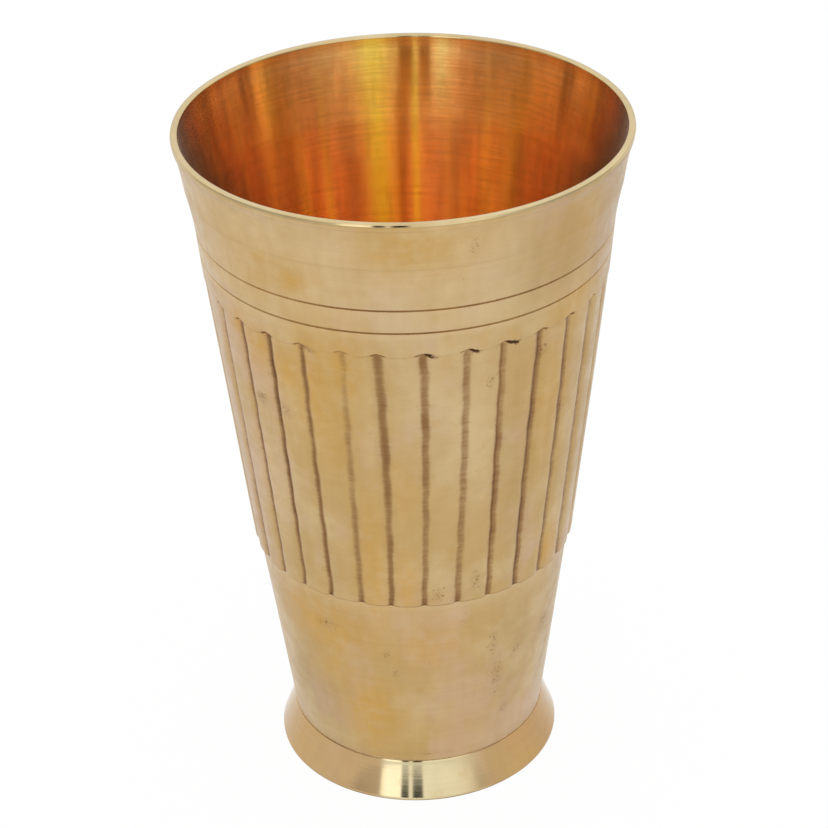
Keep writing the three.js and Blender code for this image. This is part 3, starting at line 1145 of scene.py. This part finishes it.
        # At the joint the dark line gives way where its highlight is painted.
        at_joint = (height < self.shared.wall_base + 0.1 * MM) & outside
        clear_of_highlight = 1.0 - self.joint_highlight * joint_highlight_share(angle) * at_joint
        patina_and_shadow = np.maximum(patina_and_shadow, dirt_and_shadow * (1.0 + 0.15 * np.sin(2.0 * angle + 1.0)) * clear_of_highlight)

        # Painted shadow at the upper right of each valley's top end, and in the dot at its foot.
        dark_spot, reach = steady(self.flutes.dark_spot), steady(self.flutes.reach)
        top_shadow = dark_spot * bell(skew - 0.5 * reach - 0.25 * MM, 1.4 * reach)
        top_shadow = top_shadow * bell(drop - 0.2 * MM, self.top_shadow_height)
        near_top = (np.abs(drop) < self.top_shadow_limit) & outside
        dark_spots = np.where(near_top, self.top_shadow_strength * top_shadow, 0.0)
        dark_spots = np.where(in_band, np.maximum(dark_spots, self.dot_shadow * foot_dot), dark_spots)
        warm = self.spread(self.blooms, angle, height, outside)
        scuffed = self.spread(self.scuffs, angle, height, outside)
        dark_spots = np.clip(np.maximum(dark_spots, self.pitting * scuffed), 0.0, 1.0)
        patina_and_shadow = np.maximum(patina_and_shadow, self.smudge * scuffed)
        within = np.broadcast_to(inside[:, None], angle.shape)
        # A painted highlight under the band's step, and painted shade in the lip's crease.
        cove = self.cove_highlight * bell(height - self.band_base + 1.0 * MM, 3.0 * MM)
        cove = cove * (height < self.band_base)
        crease = self.crease_shade * bell(height - self.lip_base - self.crease_rise, 0.4 * MM)
        highlight_and_wear = self.spread(self.highlight_and_wear_areas, angle, height, outside)
        # Painted highlights under the grooves.
        for groove in (self.lower_groove, self.upper_groove):
            shine = bell(height - groove + 0.5 * MM, 0.5 * MM)
            highlight_and_wear = np.maximum(highlight_and_wear, self.groove_highlight * shine * outside)
        # Painted shade on the outside.
        painted_shade = self.spread(self.painted_shade_areas, angle, height, outside)
        # Inside: painted golden and pale reflections, and painted shade that gives way on the golden ones.
        golden = self.spread(self.painted_golden_streaks, angle, height, within)
        shade = self.shade * smooth_step(0.0, self.shade_reach, height - self.shade_base)
        shade = shade * (1.0 - self.shine_through * golden)
        brown = np.clip(shade + self.spread(self.painted_dark_streaks, angle, height, within), 0.0, 1.0)
        highlight_and_wear = np.where(outside, np.maximum(highlight_and_wear, cove), golden)
        painted_shade = np.where(outside, np.maximum(painted_shade, crease), brown)
        warm = np.maximum(warm, self.spread(self.painted_pale_streaks, angle, height, within))

        marks = {
            Mark.PATINA_AND_SHADOW: patina_and_shadow, Mark.DARK_SPOT: dark_spots, Mark.WARM: warm, Mark.HIGHLIGHT_AND_WEAR: highlight_and_wear, Mark.PAINTED_SHADE: painted_shade,
        }
        grid = RingGrid(points, marks, slots)
        piece = grid.to_object("tumbler_wall", WALL_FINISH, LIP_FINISH, INSIDE_FINISH)
        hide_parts("body_wall")
        return piece


@dataclass
class Foot:
    """The flared foot ring, turned bright, with the seat that the wall and the floor disc stand on."""

    shared: SharedSizes
    overhang: float = 0.08 * MM
    wall: float = 2.4 * MM
    seat_thickness: float = 2.3 * MM
    floor_bearing: float = 3.0 * MM
    disc_clearance: float = 0.1 * MM
    rim_height: float = 0.4 * MM
    edge: float = 0.25 * MM
    flare_power: float = 1.06
    # A painted highlight across the front, and painted shade on the right side.
    highlight_from_deg: tuple[float, float] = (-20.0, -14.0)
    highlight_to_deg: tuple[float, float] = (13.0, 34.0)
    side_shade_at_deg: float = 75.0
    side_shade_span_deg: float = 90.0
    side_shade: float = 0.9
    # Grime at the neck and in the hollow underneath, and a painted contact shadow along the bottom edge.
    neck_dirt: float = 0.15
    contact_shadow: float = 1.5
    hollow_dirt: float = 0.5
    # Golden areas: each one's angle and span in degrees, and its strength.
    warm_areas: tuple[tuple[float, float, float], ...] = (
        (-62, 26, 0.55), (-34, 12, 0.3), (49, 24, 0.5), (78, 16, 0.4), (140, 40, 0.5)
    )
    columns: int = 360

    def build(self) -> bpy.types.Object:
        """Turns the foot: a hollow curve that falls from the neck as a power of the share of its height.

        Returns:
            The foot's object.
        """
        shared = self.shared
        neck = shared.wall_base_radius + self.overhang
        outer = shared.foot_radius
        inner_rim = outer - self.wall
        seat = shared.disc_radius + self.disc_clearance - self.floor_bearing
        rounding = np.linspace(0.0, math.pi / 2, 6)
        bottom = [(inner_rim + self.edge, 0.0), (inner_rim + self.wall / 2, 0.0)]
        edge_radius = outer - self.edge + self.edge * np.sin(rounding)
        edge = list(zip(edge_radius, self.edge - self.edge * np.cos(rounding)))
        share = np.linspace(0.0, 0.985, 26)
        flare_radius = part_way(neck, outer, (1 - share) ** self.flare_power)
        flare_height = part_way(self.rim_height, shared.foot_top, share)
        flare = list(zip(flare_radius, flare_height))
        brim = shared.foot_top
        corner = brim - self.seat_thickness
        top = [
            (neck - 0.02 * MM, brim - 0.01 * MM),
            (neck - 0.06 * MM, brim),
            (seat + self.edge, brim),
            (seat, brim - self.edge),
            (seat, corner + self.edge),
            (seat + self.edge, corner),
        ]
        under = neck - self.wall
        inside_share = np.linspace(0.0, 1.0, 8)
        inside_radius = part_way(under, inner_rim, inside_share)
        inside = list(zip(inside_radius, part_way(corner, self.edge, inside_share)))
        profile = np.array(bottom + edge + flare + top + inside)
        points = turned_rings(profile, self.columns)
        radius, height = profile.T[:, :, None]
        # Grime at the neck and in the hollow, and a painted contact shadow along the bottom edge.
        dirt_and_shadow = self.neck_dirt * bell(height - brim, 0.1 * MM)
        dirt_and_shadow = np.maximum(dirt_and_shadow, self.contact_shadow * bell(height, 0.5 * MM))
        dirt_and_shadow = np.maximum(dirt_and_shadow, self.hollow_dirt * (radius < under + 0.05 * MM))
        outside = radius > under
        marks = blank_marks(points)
        marks[Mark.PATINA_AND_SHADOW] += dirt_and_shadow
        # A painted highlight across the front, and painted shade on the right side.
        around = np.degrees(np.arctan2(points[:, :, 0], -points[:, :, 1]))
        fading = 1.0 - smooth_step(*self.highlight_to_deg, around)
        marks[Mark.HIGHLIGHT_AND_WEAR] = smooth_step(*self.highlight_from_deg, around) * fading * outside
        marks[Mark.PAINTED_SHADE] = self.side_shade * bell(around - self.side_shade_at_deg, self.side_shade_span_deg) * outside
        for warm_deg, span_deg, strength in self.warm_areas:
            patch = strength * bell(around - warm_deg, span_deg) * outside
            marks[Mark.WARM] = np.maximum(marks[Mark.WARM], patch)
        piece = RingGrid(points, marks).to_object("tumbler_foot", FOOT_FINISH)
        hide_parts("foot_ring")
        return piece


@dataclass
class Floor:
    """The floor disc: the cup's bottom, faintly dished above, with a lathe centre's dimple below."""

    shared: SharedSizes
    dish: float = 0.15 * MM
    edge: float = 0.2 * MM
    dimple_radius: float = 1.2 * MM
    dimple_depth: float = 0.5 * MM
    dish_margin: float = 1.2 * MM
    edge_dirt: float = 0.4
    columns: int = 180

    def build(self) -> bpy.types.Object:
        """Turns the disc, from the dimple's bottom out over the edge and in to the dish's middle.

        Returns:
            The disc's object.
        """
        shared = self.shared
        low, high = shared.wall_base, shared.floor_top
        rim = shared.disc_radius
        below = np.linspace(self.dimple_radius * 1.15, rim - self.edge, 14)
        above = np.linspace(rim - self.edge, 0.0, 18)
        dished = shared.floor_radius - self.dish_margin
        dip = self.dish * smooth_step(0.0, 1.0, (dished - above) / dished)
        profile = np.array(
            [(0.0, low + self.dimple_depth), (self.dimple_radius, low + 0.02 * MM)]
            + [(radius, low) for radius in below]
            + [(rim, low + self.edge), (rim, high - self.edge)]
            + [(radius, high - drop) for radius, drop in zip(above, dip)]
        )
        points = turned_rings(profile, self.columns)
        radius, height = profile.T[:, :, None]
        on_top = height > low + self.dimple_depth + self.edge
        marks = blank_marks(points)
        marks[Mark.PATINA_AND_SHADOW] += np.where(on_top, self.edge_dirt * smooth_step(0.8, 1.0, radius / rim), 0.0)
        piece = RingGrid(points, marks).to_object("tumbler_floor", FLOOR_FINISH)
        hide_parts("floor_disc")
        return piece


@dataclass
class Brazing:
    """The brazing metal: a film on the foot's seat, and a fillet in the cup's bottom corner."""

    shared: SharedSizes
    floor_bearing: float = 3.0 * MM
    disc_clearance: float = 0.1 * MM
    leg: float = 1.0 * MM
    ripple: float = 0.04 * MM
    film_recess: float = 0.02 * MM
    film_inner_bulge: float = 0.03 * MM
    film_outer_bulge: float = 0.05 * MM
    hollow_power: float = 1.6
    columns: int = 240

    def dress(self, grid: RingGrid, name: str, node: str) -> bpy.types.Object:
        """Makes one run of brazing metal and gives it its finish.

        Args:
            grid: Its surface.
            name: The piece's name.
            node: The CAD node that it stands for.

        Returns:
            The run's object.
        """
        piece = grid.to_object(name, BRAZE_FINISH, crease_deg=50.0)
        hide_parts(node)
        return piece

    def rippled(self, profile: Array, outward: Array) -> RingGrid:
        """Turns a profile and lets it swell and shrink a little round the ring, by three sines.

        Args:
            profile: One row of (radius, height) for each ring.
            outward: How much of the ripple each ring takes.

        Returns:
            The surface.
        """
        points = turned_rings(profile, self.columns)
        angle = np.linspace(0.0, FULL_TURN, self.columns, endpoint=False)
        wave = (np.sin(7 * angle) + np.sin(17 * angle + 1.0) + np.sin(31 * angle + 2.0)) / 3.0
        swell = -self.ripple * (0.5 + 0.5 * wave) * outward[:, None]
        points[:, :, 0] += swell * np.sin(angle)
        points[:, :, 1] -= swell * np.cos(angle)
        marks = blank_marks(points)
        # The painted highlight along the joint, on both runs.
        marks[Mark.HIGHLIGHT_AND_WEAR] += joint_highlight_share(angle)
        return RingGrid(points, marks)

    def build(self) -> list[bpy.types.Object]:
        """Makes both runs.

        Returns:
            The film and the fillet.
        """
        shared = self.shared
        inner = shared.disc_radius + self.disc_clearance - self.floor_bearing + shared.braze_recess
        outer = shared.wall_base_radius - self.film_recess
        low, high = shared.foot_top, shared.wall_base
        middle = (low + high) / 2
        inner_edge, outer_edge = inner + self.film_inner_bulge, outer - self.film_outer_bulge
        film = np.array([
            (inner_edge, low), (outer_edge, low), (outer, middle),
            (outer_edge, high), (inner_edge, high), (inner, middle),
        ])
        film_grid = self.rippled(film, np.array([0, 1, 1, 1, 0, 0]))
        film_piece = self.dress(film_grid, "foot_joint_braze", "foot_braze")
        corner = shared.floor_radius - shared.fillet_clearance
        share = np.linspace(0.0, 1.0, 7)[1:-1]
        base = shared.floor_top
        hollow_radius = corner - self.leg * (1.0 - share) ** self.hollow_power
        hollow_height = base + self.leg * share**self.hollow_power
        fillet = np.array(
            [(corner - self.leg, base), (corner, base), (corner, base + self.leg)]
            + list(zip(hollow_radius[::-1], hollow_height[::-1]))
        )
        swell = np.array([1, 0, 0] + [1] * len(share))
        fillet_piece = self.dress(self.rippled(fillet, swell), "floor_joint_braze", "floor_braze")
        return [film_piece, fillet_piece]


@dataclass(frozen=True)
class Panel:
    """A stretch of the studio's walls, as the tumbler sees it: azimuths, elevations and radiance.

    Azimuth is 0 at the front and grows towards +X. A radiance of 1 is white.
    """

    azimuth_deg: tuple[float, float]
    elevation_deg: tuple[float, float]
    radiance: float
    soft_deg: float = 1.5

    def over(
        self, bench: NodeBench, east: Socket, south: Socket, elevation: Socket, strength: Socket
    ) -> Socket:
        """Lays the panel over what lies behind it: a window in azimuth times a window in elevation.

        Args:
            bench: The world's nodes.
            east: The direction's x.
            south: The direction's -y.
            elevation: The direction's elevation in radians.
            strength: The radiance behind the panel.

        Returns:
            The radiance with the panel.
        """
        middle = math.radians(sum(self.azimuth_deg) / 2)
        half = math.radians(self.azimuth_deg[1] - self.azimuth_deg[0]) / 2
        soft = math.radians(self.soft_deg) / 2
        cosine, sine = math.cos(middle), math.sin(middle)
        across = bench.less(bench.times(east, cosine), bench.times(south, sine))
        ahead = bench.plus(bench.times(east, sine), bench.times(south, cosine))
        turned = bench.math("ABSOLUTE", bench.math("ARCTAN2", across, ahead))
        window = bench.span(turned, half - soft, half + soft, 1.0, 0.0)
        low, high = (math.radians(edge) for edge in self.elevation_deg)
        window = bench.times(window, bench.span(elevation, low - soft, low + soft))
        window = bench.times(window, bench.span(elevation, high - soft, high + soft, 1.0, 0.0))
        return bench.plus(strength, bench.times(window, bench.less(self.radiance, strength)))


@dataclass
class Studio:
    """The white floor, the pale surroundings with their panels of light, and the camera."""

    floor_half: float = 1.5
    floor_colour: Colour = (0.92, 0.92, 0.92)
    floor_glow: float = 0.96
    wall_radiance: float = 0.78
    ceiling_radiance: float = 0.9
    ceiling_from_deg: tuple[float, float] = (22.0, 60.0)
    lens_px: float = 2498.1
    picture_px: int = 828
    sensor_mm: float = 36.0
    camera_back: float = 0.41068
    camera_height: float = 0.31678
    pitch_deg: float = 30.805
    yaw_deg: float = 0.085
    roll_deg: float = -1.552
    panels: tuple[Panel, ...] = (
        Panel((-80.0, 80.0), (32.0, 95.0), 1.2, 12.0),
        Panel((-31.0, 20.0), (-2.0, 26.0), 1.2, 3.0),
        Panel((-31.0, -10.0), (-2.0, 26.0), 1.6, 3.0),
        Panel((2.0, 42.0), (-10.0, 26.0), 1.13, 12.0),
        Panel((-15.2, -9.6), (-2.0, 26.0), 0.72, 2.0),
        Panel((-6.4, 1.2), (-2.0, 26.0), 0.72, 2.0),
        Panel((-15.2, -9.6), (3.1, 26.0), 0.02, 1.6),
        Panel((-6.4, 1.2), (3.1, 26.0), 0.02, 1.6),
        Panel((60.0, 140.0), (-5.0, 24.0), 0.6, 20.0),
        Panel((-140.0, -45.0), (-5.0, 24.0), 0.6, 20.0),
        Panel((100.0, 260.0), (14.0, 80.0), 1.15, 40.0),
    )

    def lay_floor(self) -> bpy.types.Object:
        """Lays the floor, which glows nearly white to the camera and in reflections, under a faint shadow.

        Returns:
            The floor's object.
        """
        half = self.floor_half
        mesh = bpy.data.meshes.new("studio_floor")
        corners = [(-half, -half, 0.0), (half, -half, 0.0), (half, half, 0.0), (-half, half, 0.0)]
        mesh.from_pydata(corners, [], [(0, 1, 2, 3)])
        floor = bpy.data.objects.new("studio_floor", mesh)
        bpy.context.scene.collection.objects.link(floor)
        white = bpy.data.materials.new("studio_white")
        bench = NodeBench(white)
        path = bench.add("LightPath")
        seen = bench.larger(path.outputs["Is Camera Ray"], path.outputs["Is Glossy Ray"])
        seen = bench.larger(seen, path.outputs["Is Transmission Ray"])
        paint = bench.add("BsdfDiffuse", {"Color": opaque(self.floor_colour)})
        glow = bench.add("Emission", {"Color": opaque((1.0, 1.0, 1.0)), "Strength": 1.0})
        share = bench.times(seen, self.floor_glow)
        mixed = bench.add("MixShader", {0: share, 1: paint.outputs[0], 2: glow.outputs[0]})
        bench.add("OutputMaterial", {"Surface": mixed.outputs[0]})
        mesh.materials.append(white)
        return floor

    def light_surroundings(self) -> None:
        """Paints the studio into the world: pale walls under a paler ceiling, with panels and gaps.

        The camera sees it white all over.
        """
        world = bpy.data.worlds.new("studio_air")
        bpy.context.scene.world = world
        bench = NodeBench(world)
        way = bench.add("SeparateXYZ", {0: bench.add("TexCoord").outputs["Generated"]})
        east, south = way.outputs[0], bench.times(way.outputs[1], -1.0)
        elevation = bench.math("ARCSINE", way.outputs[2])
        low, high = (math.radians(edge) for edge in self.ceiling_from_deg)
        strength = bench.span(elevation, low, high, self.wall_radiance, self.ceiling_radiance)
        for panel in self.panels:
            strength = panel.over(bench, east, south, elevation, strength)
        camera = bench.add("LightPath").outputs["Is Camera Ray"]
        strength = bench.add("Mix", {0: camera, 2: strength, 3: 1.0}, data_type="FLOAT").outputs[0]
        light = bench.add("Background", {"Color": opaque((1.0, 1.0, 1.0)), "Strength": strength})
        bench.add("OutputWorld", {"Surface": light.outputs[0]})

    def set_camera(self) -> bpy.types.Object:
        """Stands the camera where the photograph was taken from, a little rolled.

        Returns:
            The camera's object.
        """
        data = bpy.data.cameras.new("photo_camera")
        data.sensor_width = self.sensor_mm
        data.lens = self.lens_px / self.picture_px * self.sensor_mm
        data.clip_start = 0.01
        camera = bpy.data.objects.new("photo_camera", data)
        pitch, yaw, roll = (math.radians(angle) for angle in (self.pitch_deg, self.yaw_deg, self.roll_deg))
        level = math.cos(pitch)
        forward = Vector((math.sin(yaw) * level, math.cos(yaw) * level, -math.sin(pitch)))
        right = forward.cross(Vector((0.0, 0.0, 1.0))).normalized()
        up = right.cross(forward)
        rolled_right = math.cos(roll) * right + math.sin(roll) * up
        rolled_up = -math.sin(roll) * right + math.cos(roll) * up
        turn = Matrix((rolled_right, rolled_up, -forward)).transposed().to_4x4()
        camera.matrix_world = Matrix.Translation((0.0, -self.camera_back, self.camera_height)) @ turn
        bpy.context.scene.collection.objects.link(camera)
        bpy.context.scene.camera = camera
        return camera

    def build(self) -> None:
        """Sets the whole studio."""
        self.lay_floor()
        self.light_surroundings()
        self.set_camera()
        bpy.context.scene.view_settings.view_transform = "Standard"


def main() -> None:
    """Builds the studio and the tumbler's pieces, and rides each piece on the tumbler's one body."""
    logging.basicConfig(level=logging.INFO, format="%(name)s: %(message)s")
    Studio().build()
    shared = SharedSizes.from_frame()
    (body,) = frame["bodies"]
    pieces = [CupWall(shared).build(), Foot(shared).build(), Floor(shared).build()]
    pieces += Brazing(shared).build()
    for piece in pieces:
        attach(piece, body)
        LOG.info("%s: %d faces", piece.name, len(piece.data.polygons))


if __name__ == "__main__":
    main()
